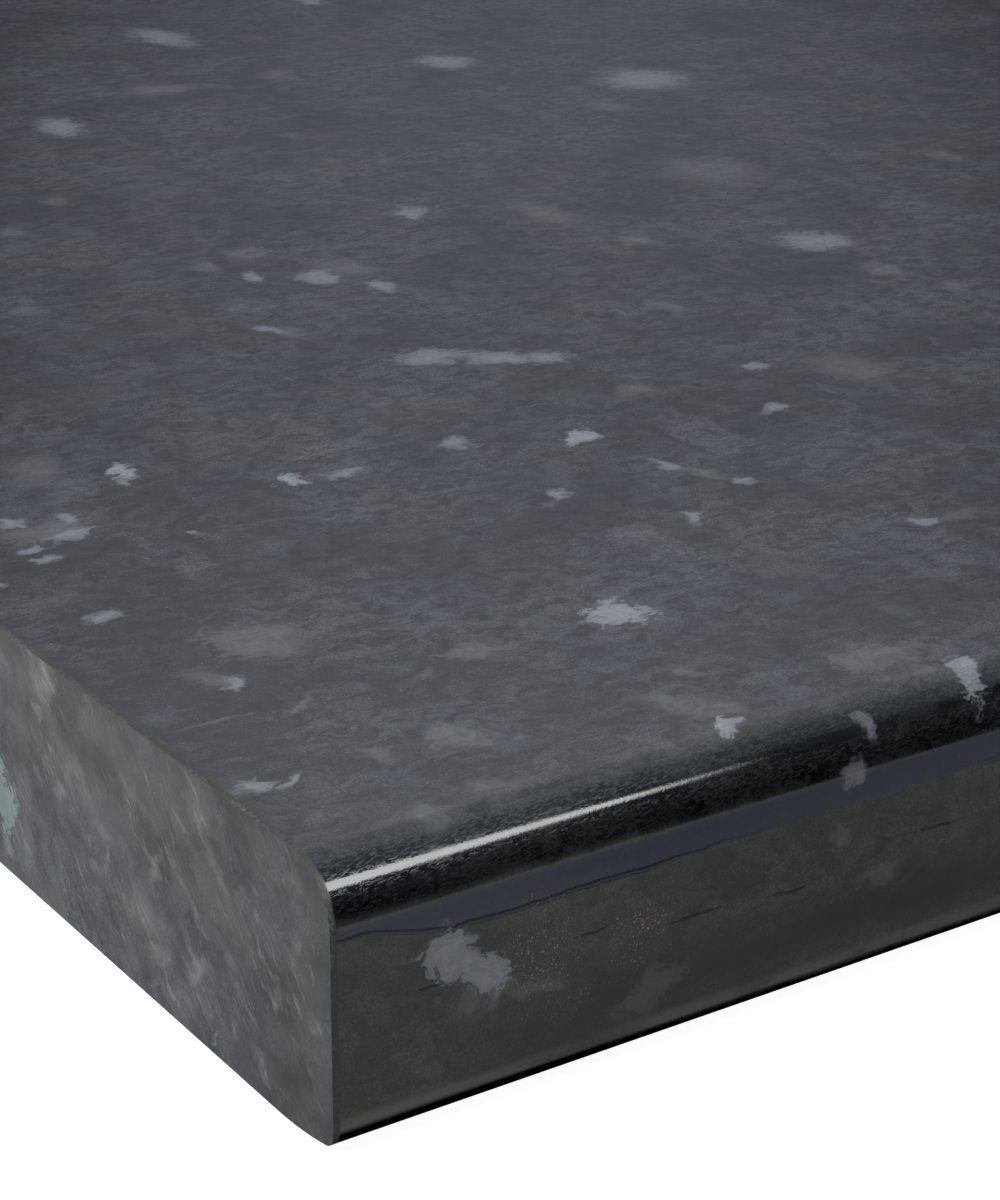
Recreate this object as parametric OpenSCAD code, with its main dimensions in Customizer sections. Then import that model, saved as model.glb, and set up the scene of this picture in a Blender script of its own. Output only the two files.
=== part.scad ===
// Postformed laminate worktop with a granite-effect decor, one straight length.
//
// Frame: X runs along the length, the front nose faces -Y, the wall edge faces +Y and the
// working face is up. The origin is at the middle of the underside. Millimetres.
//
// The slab is a chipboard core in glued skins: a decor laminate that runs from the wall edge over
// the top, round the nose and back under it as a lip, a backing sheet on the rest of the
// underside, a bead that seals the joint between lip and backing, and a strip on each sawn end.

/* [Slab] */
// Length from end to end
slab_length = 1500; // [600:50:3000]
// Depth from the front nose to the wall edge
slab_depth = 600; // [400:10:900]
// Overall thickness
slab_thickness = 38; // [28:1:40]

/* [Front nose] */
// Radius of the roll between the working face and the front
roll_radius = 8; // [5:0.5:10]
// Radius of the toe at the foot of the front
toe_radius = 2.4; // [2:0.1:3]
// Radius of the shallow sweep that lifts the underside towards the toe
sweep_radius = 60; // [40:5:80]
// How far behind the front the sweep starts
sweep_reach = 13.5; // [11:0.5:16]

/* [Skins] */
// Thickness of the decor laminate
laminate_t = 0.7; // [0.6:0.05:1]
// Width of the laminate lip under the nose, measured from the front
lip_width = 25; // [20:1:40]
// Thickness of the backing sheet
backing_t = 0.4; // [0.3:0.05:0.5]
// Thickness of the glue film under each sheet
glue_t = 0.1; // [0.1:0.05:0.2]
// Width of the sealing bead between the lip and the backing sheet
bead_width = 3; // [2:0.5:5]
// How far the bead is set back from the underside
bead_setback = 0.15; // [0.1:0.05:0.25]

/* [Ends and wall edge] */
// Thickness of the laminate strip on each end
strip_t = 0.7; // [0.5:0.05:1]
// Thickness of the hot-melt film under each end strip
hot_melt_t = 0.2; // [0.1:0.05:0.3]
// Thickness of the lacquer that seals the wall edge
rear_seal_t = 0.2; // [0.1:0.05:0.3]

/* [Hidden] */
$fn = 128;

front_y = -slab_depth / 2;
rear_y = slab_depth / 2;
skin_rear_y = rear_y - rear_seal_t;
body_length = slab_length - 2 * (strip_t + hot_melt_t);
lip_end_y = front_y + lip_width;
backing_front_y = lip_end_y + bead_width;
laminate_inset = laminate_t + glue_t;
backing_inset = backing_t + glue_t;
overcut = 1;

// The toe arc and the sweep arc touch on the line through their centres, which sets the height
// of the toe's centre.
sweep_run = sweep_reach - toe_radius;
sweep_rise = sqrt(pow(sweep_radius - toe_radius, 2) - pow(sweep_run, 2));
sweep_centre = [front_y + sweep_reach, sweep_radius];
toe_centre = [front_y + toe_radius, sweep_radius - sweep_rise];
roll_centre = [front_y + roll_radius, slab_thickness - roll_radius];
wedge_foot = sweep_centre + (toe_centre - sweep_centre) * (sweep_radius + overcut) / sweep_rise;

// Runs a [y, z] section along X from a given place.
module along_x(from_x, run_length) {
    translate([from_x, 0, 0])
        rotate([90, 0, 90])
            linear_extrude(run_length)
                children();
}

// Runs a section between the two end strips' hot melt.
module between_ends() {
    along_x(-body_length / 2, body_length) children();
}

module block(low, high) {
    translate(low) square(high - low);
}

// The underside where it sweeps up to the toe: what the sweep circle keeps of the wedge between
// the line through the two arcs' centres and the flat underside.
module sweep_section(inset) {
    intersection() {
        translate(sweep_centre) circle(sweep_radius - inset);
        polygon([
            toe_centre,
            wedge_foot,
            [sweep_centre[0], -overcut],
            [sweep_centre[0], toe_centre[1]]
        ]);
    }
}

// The slab's section, set in from the working face, the front and the underside by an inset.
module slab_section(inset, to_y) {
    translate(roll_centre) circle(roll_radius - inset);
    translate(toe_centre) circle(toe_radius - inset);
    sweep_section(inset);
    block([front_y + inset, toe_centre[1]], [sweep_centre[0], roll_centre[1]]);
    block([roll_centre[0], roll_centre[1]], [sweep_centre[0], slab_thickness - inset]);
    block([sweep_centre[0], inset], [to_y, slab_thickness - inset]);
}

// A sheet bent round the nose, between two insets, that stops at the lip's end.
module wrapped_sheet(outer_inset, inner_inset) {
    between_ends()
        difference() {
            slab_section(outer_inset, skin_rear_y);
            slab_section(inner_inset, skin_rear_y + overcut);
            block([lip_end_y, -overcut], [skin_rear_y + overcut, inner_inset + overcut]);
        }
}

// A flat sheet on the underside, behind the bead, between two heights.
module underside_sheet(low_z, high_z) {
    between_ends() block([backing_front_y, low_z], [skin_rear_y, high_z]);
}

// Three-layer chipboard. It is a little thinner under the lip, so that the lip and the backing
// sheet end up flush.
module chipboard_core() {
    color([0.62, 0.50, 0.36])
        between_ends() {
            slab_section(laminate_inset, skin_rear_y);
            block([backing_front_y, backing_inset], [skin_rear_y, laminate_inset]);
        }
}

module decor_laminate() {
    color([0.16, 0.17, 0.18]) wrapped_sheet(0, laminate_t);
}

module laminate_glue_film() {
    color([0.85, 0.80, 0.62]) wrapped_sheet(laminate_t, laminate_inset);
}

module backing_sheet() {
    color([0.33, 0.24, 0.17]) underside_sheet(0, backing_t);
}

module backing_glue_film() {
    color([0.85, 0.80, 0.62]) underside_sheet(backing_t, backing_inset);
}

// Sealing bead that keeps water out of the joint between the lip and the backing sheet.
module lip_seal_bead() {
    color([0.10, 0.10, 0.10])
        between_ends() block([lip_end_y, bead_setback], [backing_front_y, laminate_inset]);
}

// Clear lacquer rolled onto the sawn wall edge.
module rear_edge_seal() {
    color([0.60, 0.48, 0.34])
        between_ends() block([skin_rear_y, 0], [rear_y, slab_thickness]);
}

// A laminate strip cut to the slab's outline. Side is -1 for the left end and 1 for the right.
module end_strip(side) {
    centre_x = side * (slab_length - strip_t) / 2;
    color([0.36, 0.37, 0.38]) along_x(centre_x - strip_t / 2, strip_t) slab_section(0, rear_y);
}

// The glue under an end strip. Side is -1 for the left end and 1 for the right.
module end_hot_melt(side) {
    centre_x = side * (body_length + hot_melt_t) / 2;
    color([0.28, 0.22, 0.16])
        along_x(centre_x - hot_melt_t / 2, hot_melt_t) slab_section(0, rear_y);
}

chipboard_core();
decor_laminate();
laminate_glue_film();
backing_sheet();
backing_glue_film();
lip_seal_bead();
rear_edge_seal();
end_strip(-1);  // left_end_strip
end_hot_melt(-1);  // left_end_hot_melt
end_strip(1);  // right_end_strip
end_hot_melt(1);  // right_end_hot_melt
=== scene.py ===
"""Looks of a straight length of postformed worktop with a granite-effect laminate.

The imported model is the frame: X runs along the slab, the rolled front faces -Y, the wall edge
faces +Y and the working face is up. Meshes are in metres. Patterns are laid out in millimetres
from the slab's left end and, on the sheet, along its developed width.
"""

import logging
import math
from dataclasses import dataclass
from enum import Enum

import bpy
import numpy as np
from mathutils import Matrix, Vector
from numpy.typing import NDArray


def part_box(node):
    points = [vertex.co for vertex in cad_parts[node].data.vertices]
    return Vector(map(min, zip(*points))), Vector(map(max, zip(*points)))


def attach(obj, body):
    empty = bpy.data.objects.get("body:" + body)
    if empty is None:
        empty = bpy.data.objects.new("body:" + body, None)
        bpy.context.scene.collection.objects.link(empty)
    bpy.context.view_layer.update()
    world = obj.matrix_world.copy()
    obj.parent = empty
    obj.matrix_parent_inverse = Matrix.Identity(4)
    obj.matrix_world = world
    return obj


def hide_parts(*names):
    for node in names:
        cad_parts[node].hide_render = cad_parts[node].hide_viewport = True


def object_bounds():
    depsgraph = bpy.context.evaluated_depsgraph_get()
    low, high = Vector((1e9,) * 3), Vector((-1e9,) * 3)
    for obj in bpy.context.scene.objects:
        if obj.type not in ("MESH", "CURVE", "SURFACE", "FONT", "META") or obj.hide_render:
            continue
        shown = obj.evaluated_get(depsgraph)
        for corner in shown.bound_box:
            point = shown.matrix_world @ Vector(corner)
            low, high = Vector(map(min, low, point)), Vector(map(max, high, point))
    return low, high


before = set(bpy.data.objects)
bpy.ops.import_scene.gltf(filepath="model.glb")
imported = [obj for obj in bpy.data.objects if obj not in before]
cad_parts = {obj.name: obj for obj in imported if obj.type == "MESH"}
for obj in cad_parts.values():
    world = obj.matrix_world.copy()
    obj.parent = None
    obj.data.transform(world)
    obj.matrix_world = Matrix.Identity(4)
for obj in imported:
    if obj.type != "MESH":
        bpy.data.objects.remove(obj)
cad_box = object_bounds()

LOG = logging.getLogger("worktop")
BODY = "root"
MM = 0.001

Points = NDArray[np.float64]
Socket = bpy.types.NodeSocket
Input = Socket | float | tuple[float, ...]
Colour = tuple[float, float, float, float]
Coat = tuple[Input, Input]

# Listed flakes lean in steps of this many degrees, so that few turns are needed.
LEAN_STEP = 15.0
STRIP_ARRIS = 0.045 * MM
# An edge sharper than this is shaded as an edge.
SHARP_ANGLE = math.radians(32.0)


class End(Enum):
    """The two sawn ends of the slab."""

    LEFT = -1
    RIGHT = 1


class Tone(Enum):
    """What a listed flake does to the decor: its name and how soft its rim is."""

    BRIGHT = ("Bright", 0.28)
    CLEAR = ("Clear", 0.50)
    MUTED = ("Muted", 0.32)
    FAINT = ("Faint", 0.55)
    WARM = ("Warm", 0.60)
    SCRATCH = ("Scratch", 0.60)


# --------------------------------------------------------------------------- shader nodes


class NodeBench:
    """A node tree that is being filled in, with one short method for each kind of node."""

    def __init__(self, tree: bpy.types.NodeTree) -> None:
        """Take the tree to fill in."""
        self.tree = tree

    def node(self, kind: str, **settings: object) -> bpy.types.Node:
        """Add a node.

        Args:
            kind: The node's type, without its ShaderNode prefix.
            settings: Properties of the node.

        Returns:
            The new node.
        """
        made = self.tree.nodes.new("ShaderNode" + kind)
        for name, value in settings.items():
            setattr(made, name, value)
        return made

    def feed(self, socket: Socket, value: Input) -> None:
        """Link a socket to an output, or set it to a constant."""
        if isinstance(value, bpy.types.NodeSocket):
            self.tree.links.new(value, socket)
        else:
            socket.default_value = value

    def number(self, operation: str, *values: Input, clamp: bool = False) -> Socket:
        """Do a sum on single values and return its output."""
        made = self.node("Math", operation=operation, use_clamp=clamp)
        for socket, value in zip(made.inputs, values):
            self.feed(socket, value)
        return made.outputs[0]

    def product(self, first: Input, *others: Input) -> Input:
        """Multiply numbers together."""
        for other in others:
            first = self.number("MULTIPLY", first, other)
        return first

    def ramp(self, value: Input, slope: Input, start: Input) -> Socket:
        """Multiply a number by a slope and add a start."""
        return self.number("MULTIPLY_ADD", value, slope, start)

    def step(self, value: Input, low: Input, high: Input, start: Input = 0.0,
             stop: Input = 1.0) -> Socket:
        """Go smoothly from start to stop while a value goes from low to high."""
        made = self.node("MapRange", interpolation_type="SMOOTHSTEP")
        for name, entry in zip(("Value", "From Min", "From Max", "To Min", "To Max"),
                               (value, low, high, start, stop)):
            self.feed(made.inputs[name], entry)
        return made.outputs["Result"]

    def window(self, value: Input, low: float, high: float, soft: float) -> Socket:
        """Give 1 between two limits and 0 outside them, with soft edges."""
        rise = self.step(value, low - soft, low + soft)
        return self.product(rise, self.step(value, high - soft, high + soft, 1.0, 0.0))

    def vector(self, operation: str, *values: Input) -> bpy.types.NodeOutputs:
        """Do a sum on vectors and return the node's outputs."""
        made = self.node("VectorMath", operation=operation)
        for socket, value in zip(made.inputs, values):
            self.feed(socket, value)
        return made.outputs

    def moved(self, vector: Input, shift: Input) -> Socket:
        """Add two vectors."""
        return self.vector("ADD", vector, shift)[0]

    def stretched(self, vector: Input, factors: Input) -> Socket:
        """Multiply two vectors part by part."""
        return self.vector("MULTIPLY", vector, factors)[0]

    def scaled(self, vector: Input, factor: Input) -> Socket:
        """Multiply a vector or colour by a number."""
        made = self.node("VectorMath", operation="SCALE")
        self.feed(made.inputs[0], vector)
        self.feed(made.inputs["Scale"], factor)
        return made.outputs[0]

    def turned(self, vector: Input, angle: Input) -> Socket:
        """Turn a vector about Z by an angle in radians."""
        made = self.node("VectorRotate", rotation_type="Z_AXIS")
        self.feed(made.inputs["Vector"], vector)
        self.feed(made.inputs["Angle"], angle)
        return made.outputs[0]

    def parts(self, vector: Input) -> bpy.types.NodeOutputs:
        """Split a vector or colour into three numbers."""
        made = self.node("SeparateXYZ")
        self.feed(made.inputs[0], vector)
        return made.outputs

    def joined(self, x: Input, y: Input, z: Input = 0.0) -> Socket:
        """Make a vector from three numbers."""
        made = self.node("CombineXYZ")
        for socket, value in zip(made.inputs, (x, y, z)):
            self.feed(socket, value)
        return made.outputs[0]

    def own_place(self) -> Socket:
        """Give the place on the object, in millimetres."""
        return self.scaled(self.node("TexCoord").outputs["Object"], 1.0 / MM)

    def noise(self, place: Input, size: float, detail: float = 3.0, rough: float = 0.55,
              flat: bool = True) -> bpy.types.NodeOutputs:
        """Add fractal noise whose largest lumps are about one size across."""
        made = self.node("TexNoise", noise_dimensions="2D" if flat else "3D")
        self.feed(made.inputs["Vector"], place)
        made.inputs["Scale"].default_value = 1.0 / size
        made.inputs["Detail"].default_value = detail
        made.inputs["Roughness"].default_value = rough
        return made.outputs

    def cloud(self, place: Input, size: float, detail: float = 3.0, rough: float = 0.55) -> Socket:
        """Give flat noise as one number."""
        return self.noise(place, size, detail, rough)["Fac"]

    def lump(self, place: Input, size: float, detail: float = 3.0, rough: float = 0.55) -> Socket:
        """Give solid noise as one number."""
        return self.noise(place, size, detail, rough, flat=False)["Fac"]

    def swirl(self, place: Input, size: float, detail: float = 3.0) -> Socket:
        """Give flat noise as a vector about zero."""
        return self.vector("SUBTRACT", self.noise(place, size, detail)["Color"],
                           (0.5, 0.5, 0.5))[0]

    def cells(self, place: Input, scale: Input = 1.0,
              feature: str = "F1") -> bpy.types.NodeOutputs:
        """Add flat Voronoi cells."""
        made = self.node("TexVoronoi", voronoi_dimensions="2D", feature=feature)
        self.feed(made.inputs["Vector"], place)
        self.feed(made.inputs["Scale"], scale)
        return made.outputs

    def blend(self, share: Input, first: Input, second: Input) -> Socket:
        """Mix two colours by a share of the second."""
        made = self.node("Mix", data_type="RGBA")
        self.feed(made.inputs[0], share)
        self.feed(made.inputs[6], first)
        self.feed(made.inputs[7], second)
        return made.outputs[2]

    def coated(self, colour: Input, *coats: Coat) -> Input:
        """Cover a colour with coats in order, each given as its share and its colour."""
        for share, tint in coats:
            colour = self.blend(share, colour, tint)
        return colour

    def use(self, group: bpy.types.NodeTree, **values: Input) -> bpy.types.NodeOutputs:
        """Place a node group and feed its inputs by name."""
        made = self.node("Group", node_tree=group)
        for name, value in values.items():
            self.feed(made.inputs[name], value)
        return made.outputs


class GroupBench(NodeBench):
    """A node group that is being built, with named inputs and outputs."""

    KINDS = {"number": "NodeSocketFloat", "vector": "NodeSocketVector", "colour": "NodeSocketColor"}

    def __init__(self, name: str, takes: dict[str, str], gives: dict[str, str]) -> None:
        """Open a new group.

        Args:
            name: The group's name.
            takes: Each input's name and kind.
            gives: Each output's name and kind.
        """
        super().__init__(bpy.data.node_groups.new(name, "ShaderNodeTree"))
        for direction, sockets in (("INPUT", takes), ("OUTPUT", gives)):
            for label, kind in sockets.items():
                self.tree.interface.new_socket(label, in_out=direction, socket_type=self.KINDS[kind])
        self.taken = self.tree.nodes.new("NodeGroupInput").outputs
        self.given = self.tree.nodes.new("NodeGroupOutput").inputs

    def give(self, **values: Input) -> bpy.types.NodeTree:
        """Feed the outputs by name, and return the group."""
        for name, value in values.items():
            self.feed(self.given[name], value)
        return self.tree


@dataclass(frozen=True)
class Flake:
    """One flake of the decor whose place is chosen, in millimetres and degrees."""

    x: float
    y: float
    long: float
    wide: float
    lean: float = 0.0
    tone: Tone = Tone.CLEAR

    @property
    def lean_class(self) -> tuple[int, bool]:
        """How many lean steps the flake is turned, and whether its outline is straight."""
        return round(self.lean / LEAN_STEP), self.tone is Tone.SCRATCH


@dataclass(frozen=True)
class Scatter:
    """Flakes strewn at random: the space that each has, and their sizes in millimetres."""

    cell: float
    presence: float
    smallest: float
    largest: float
    stretch: float = 1.8
    soft: float = 0.4
    salt: float = 0.0

    def lay(self, bench: NodeBench, group: bpy.types.NodeTree, place: Input,
            **others: Input) -> Socket:
        """Place the scatter group.

        Args:
            bench: The tree to add to.
            group: The group that strews flakes.
            place: The place, in millimetres.
            others: Inputs of the group that take another value than the scatter's own.

        Returns:
            The flakes' mask.
        """
        values: dict[str, Input] = {
            "Cell": self.cell, "Presence": self.presence, "Smallest": self.smallest,
            "Largest": self.largest, "Stretch": self.stretch, "Lean": 0.0, "Spread": math.pi,
            "Softness": self.soft, "Salt": self.salt}
        return bench.use(group, Place=place, **(values | others))["Mask"]


def scatter_group() -> bpy.types.NodeTree:
    """Build the group that strews flakes, one at most in each Voronoi cell.

    A flake is where the distance from its cell's point, turned by the cell's own angle and
    divided by its half-length and half-width, is under 1.

    Returns:
        The node group.
    """
    numbers = ("Cell", "Presence", "Smallest", "Largest", "Stretch", "Lean", "Spread", "Softness",
               "Salt")
    bench = GroupBench("strewn_flakes", {"Place": "vector"} | dict.fromkeys(numbers, "number"),
                       {"Mask": "number"})
    taken = bench.taken
    place = bench.moved(taken["Place"], bench.joined(taken["Salt"], taken["Salt"]))
    cells = bench.cells(place, bench.number("DIVIDE", 1.0, taken["Cell"]))
    chance = bench.parts(cells["Color"])
    more = bench.node("TexWhiteNoise", noise_dimensions="2D")
    bench.feed(more.inputs["Vector"], cells["Position"])
    extra = bench.parts(more.outputs["Color"])
    away = bench.vector("SUBTRACT", place, cells["Position"])[0]
    swing = bench.product(bench.number("SUBTRACT", chance[0], 0.5), taken["Spread"])
    local = bench.parts(bench.turned(away, bench.number("SUBTRACT", swing, taken["Lean"])))
    mostly_small = bench.number("POWER", chance[1], 2.0)
    half = bench.step(mostly_small, 0.0, 1.0, taken["Smallest"], taken["Largest"])
    longer = bench.step(chance[2], 0.0, 1.0, 1.0, taken["Stretch"])
    along = bench.number("DIVIDE", local[0], bench.product(half, longer))
    across = bench.number("DIVIDE", local[1], half)
    reach = bench.vector("LENGTH", bench.joined(along, across))["Value"]
    inside = bench.step(reach, bench.number("SUBTRACT", 1.0, taken["Softness"]), 1.0, 1.0, 0.0)
    kept = bench.number("LESS_THAN", extra[0], taken["Presence"])
    return bench.give(Mask=bench.product(inside, kept, bench.ramp(extra[1], 0.6, 0.4)))


def ragged(bench: NodeBench, place: Input, coarse: float, fine: float) -> Socket:
    """Push a place about by two sizes of noise, so that outlines drawn on it turn ragged.

    Args:
        bench: The tree to add to.
        place: The place, in millimetres.
        coarse: The push of the larger noise, in millimetres.
        fine: The push of the smaller noise, in millimetres.

    Returns:
        The pushed place.
    """
    pushed = place
    for size, amount in ((6.0, coarse), (1.2, fine)):
        push = bench.scaled(bench.swirl(place, size, 2.0), 2.0 * amount)
        pushed = bench.moved(pushed, push)
    return pushed


def chosen_flakes_group(name: str, flakes: tuple[Flake, ...]) -> bpy.types.NodeTree:
    """Build the group that sets flakes at chosen places.

    Each flake is an ellipse on ragged ground, and a scratch is one on nearly straight ground.
    The place is turned by the flake's lean, rounded to a lean step, moved to its centre and
    divided by its half-length and half-width, and it is inside where the length of that is
    under 1. Flakes of a tone are joined by taking the least length.

    Args:
        name: The group's name.
        flakes: The flakes to set.

    Returns:
        The node group.
    """
    bench = GroupBench(name, {"Place": "vector", "Fray": "number"},
                       {tone.value[0]: "number" for tone in Tone})
    ground = ragged(bench, bench.taken["Place"], 2.8, 0.6)
    straight = ragged(bench, bench.taken["Place"], 0.5, 0.12)
    turned = {(lean, fine): bench.turned(straight if fine else ground,
                                         -math.radians(LEAN_STEP * lean))
              for lean, fine in sorted({flake.lean_class for flake in flakes})}
    masks: dict[str, Input] = {}
    for tone in Tone:
        nearest: Input = 9.0
        for flake in (entry for entry in flakes if entry.tone is tone):
            lean = math.radians(LEAN_STEP * flake.lean_class[0])
            centre = (flake.x * math.cos(lean) + flake.y * math.sin(lean),
                      flake.y * math.cos(lean) - flake.x * math.sin(lean))
            factors = (2.0 / flake.long, 2.0 / flake.wide, 0.0)
            shift = (-centre[0] * factors[0], -centre[1] * factors[1], 0.0)
            local = bench.vector("MULTIPLY_ADD", turned[flake.lean_class], factors, shift)[0]
            nearest = bench.number("MINIMUM", nearest, bench.vector("LENGTH", local)["Value"])
        label, soft = tone.value
        frayed = bench.number("ADD", nearest, bench.taken["Fray"])
        masks[label] = bench.step(frayed, 1.0 - soft, 1.0 + soft, 1.0, 0.0)
    return bench.give(**masks)


def granite_group(scatter: bpy.types.NodeTree) -> bpy.types.NodeTree:
    """Build the printed decor: clouded ground, soft blotches, bright flakes and fine specks.

    Args:
        scatter: The group that strews flakes.

    Returns:
        The node group. Quiet takes 1 where only the ground and blotches are wanted.
    """
    bench = GroupBench("granite_decor", {
        "Place": "vector", "Ground": "colour", "Cool": "colour", "Warm": "colour",
        "Bright": "colour", "Lean": "number", "Spread": "number", "Stretch": "number",
        "Quiet": "number"}, {"Color": "colour", "Mottle": "number", "Fray": "number"})
    taken = bench.taken
    place = taken["Place"]
    ground = ragged(bench, place, 3.0, 0.5)
    cloud = bench.step(bench.cloud(place, 30.0, 4.0, 0.62), 0.30, 0.70)
    drift = bench.step(bench.cloud(bench.moved(place, (331.0, 97.0, 0.0)), 24.0, 2.0), 0.38, 0.62)
    slim = bench.joined(1.0, bench.ramp(taken["Stretch"], 0.5, 0.4), 1.0)
    drawn = bench.stretched(bench.turned(ground, bench.product(taken["Lean"], -1.0)), slim)
    mottle = bench.step(bench.cloud(drawn, 5.0, 5.0, 0.70), 0.36, 0.66)
    strokes = bench.step(bench.cloud(drawn, 1.9, 2.0, 0.55), 0.32, 0.70)
    grain = bench.cloud(place, 0.40, 2.0, 0.7)

    hue = bench.blend(bench.product(drift, 0.6), taken["Cool"], taken["Warm"])
    veil = bench.product(bench.ramp(cloud, 0.55, 0.18),
                         bench.ramp(strokes, 0.62, bench.product(mottle, 1.05)))
    dusted = bench.product(bench.step(grain, 0.38, 0.80, 0.0, 0.24), bench.ramp(mottle, 0.7, 0.45))
    colour = bench.blend(bench.number("ADD", veil, dusted, clamp=True), taken["Ground"], hue)

    patches = Scatter(cell=30.0, presence=0.55, smallest=4.0, largest=11.0, soft=0.9, salt=71.0)
    blotches = Scatter(cell=11.0, presence=0.55, smallest=1.4, largest=4.6, soft=0.8)
    flakes = Scatter(cell=36.0, presence=0.42, smallest=1.5, largest=5.5, soft=0.35, salt=193.0)
    chips = Scatter(cell=15.0, presence=0.22, smallest=0.5, largest=1.5, soft=0.5, salt=417.0)
    lively = bench.ramp(strokes, 0.55, 0.45)
    loud = bench.number("SUBTRACT", 1.0, taken["Quiet"])
    drawing = {key: taken[key] for key in ("Stretch", "Lean", "Spread")}
    for kind, tint, shares in ((patches, "Warm", (lively, 0.55)), (blotches, "Cool", (lively, 0.8)),
                               (flakes, "Bright", (lively, loud)), (chips, "Bright", (0.6, loud))):
        mask = kind.lay(bench, scatter, ground, **drawing)
        colour = bench.blend(bench.product(mask, *shares), colour, taken[tint])

    specks = Scatter(cell=1.7, presence=0.16, smallest=0.06, largest=0.17, stretch=1.5, salt=29.0)
    colour = bench.blend(bench.product(specks.lay(bench, scatter, place), 0.4), colour,
                         taken["Bright"])
    shade = bench.step(grain, 0.22, 0.78, 0.62, 1.38)
    lifted = bench.ramp(grain, 0.5, bench.ramp(strokes, 0.6, -0.52))
    return bench.give(Color=bench.scaled(colour, shade), Mottle=strokes, Fray=lifted)


def grain_group() -> bpy.types.NodeTree:
    """Build the press plate's fine grain, as a height from 0 to 1: pebbles and small pits."""
    bench = GroupBench("pressed_grain", {"Place": "vector"}, {"Height": "number"})
    place = bench.taken["Place"]
    pebbles = bench.cloud(place, 0.55, 2.0, 0.6)
    return bench.give(Height=bench.ramp(bench.cloud(place, 0.22, 1.0, 0.5), 0.5, pebbles))


def chipboard_group() -> bpy.types.NodeTree:
    """Build pressed chipboard seen on a sawn face: flat chips, coarser in the middle layer.

    Returns:
        The node group. Place is in millimetres with the board's thickness as its second
        number, and Middle is 1 in the coarse layer.
    """
    bench = GroupBench("chipboard", {"Place": "vector", "Middle": "number"},
                       {"Color": "colour", "Height": "number"})
    place, middle = bench.taken["Place"], bench.taken["Middle"]
    swirled = bench.moved(place, bench.scaled(bench.swirl(place, 9.0), 2.6))

    def chips(long: float, thick: float) -> tuple[bpy.types.NodeOutputs, Socket]:
        """Lay chips of one size and return their random numbers and the gaps between them."""
        flat = bench.vector("DIVIDE", swirled, (long, thick, 1.0))[0]
        edges = bench.cells(flat, feature="DISTANCE_TO_EDGE")
        return bench.parts(bench.cells(flat)["Color"]), edges["Distance"]

    coarse, coarse_gap = chips(5.5, 1.1)
    fine, fine_gap = chips(1.3, 0.35)
    pick = bench.step(middle, 0.0, 1.0, fine[0], coarse[0])
    gap = bench.step(bench.step(middle, 0.0, 1.0, fine_gap, coarse_gap), 0.0, 0.13)
    # Painted shade: voids in the coarse layer are darkened as well as sunk in the bump.
    void_and_painted_shade = bench.product(bench.number("LESS_THAN", coarse[1], 0.10), middle)
    bark = bench.product(bench.number("LESS_THAN", fine[2], 0.05), 0.8)
    colour = bench.coated((0.30, 0.185, 0.095, 1.0),
                          (pick, (0.62, 0.46, 0.28, 1.0)),
                          (bark, (0.075, 0.045, 0.028, 1.0)),
                          (bench.ramp(gap, -0.65, 0.65), (0.10, 0.06, 0.035, 1.0)),
                          (bench.product(void_and_painted_shade, 0.8), (0.035, 0.022, 0.014, 1.0)))
    fibre = bench.cloud(bench.stretched(place, (0.35, 2.2, 1.0)), 1.0, 4.0, 0.7)
    colour = bench.scaled(colour, bench.step(fibre, 0.2, 0.8, 0.72, 1.22))
    height = bench.number("SUBTRACT", bench.product(gap, bench.ramp(pick, 0.6, 0.4)), void_and_painted_shade)
    return bench.give(Color=colour, Height=height)


@dataclass(frozen=True)
class Effects:
    """The node groups that more than one finish uses."""

    scatter: bpy.types.NodeTree
    granite: bpy.types.NodeTree
    grain: bpy.types.NodeTree
    chipboard: bpy.types.NodeTree

    @classmethod
    def build(cls) -> "Effects":
        """Build every shared group once."""
        scatter = scatter_group()
        return cls(scatter, granite_group(scatter), grain_group(), chipboard_group())


# --------------------------------------------------------------------------- finishes


class Finish:
    """Base of the finishes: opens a material, and closes it with what its shader takes."""

    @staticmethod
    def open(name: str) -> tuple[bpy.types.Material, NodeBench]:
        """Make a material with one Principled shader, and a bench on its nodes."""
        material = bpy.data.materials.new(name)
        material.use_nodes = True
        return material, NodeBench(material.node_tree)

    @staticmethod
    def close(material: bpy.types.Material, bench: NodeBench, colour: Input, roughness: Input,
              height: Input, depth: float) -> bpy.types.Material:
        """Feed a material's shader.

        Args:
            material: The material.
            bench: Its bench.
            colour: Its base colour.
            roughness: Its roughness.
            height: The height of its bump.
            depth: What a height of 1 is worth, in metres.

        Returns:
            The material.
        """
        shader = material.node_tree.nodes["Principled BSDF"]
        bump = bench.node("Bump")
        bump.inputs["Distance"].default_value = depth
        bench.feed(bump.inputs["Height"], height)
        bench.feed(shader.inputs["Base Color"], colour)
        bench.feed(shader.inputs["Roughness"], roughness)
        bench.feed(shader.inputs["Normal"], bump.outputs[0])
        return material

    @staticmethod
    def uneven(bench: NodeBench, patches: Input, roughness: float, shinier: float,
               duller: float) -> Socket:
        """Vary a roughness by patches of noise, by so much each way."""
        return bench.step(patches, 0.3, 0.7, roughness - shinier, roughness + duller)


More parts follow.
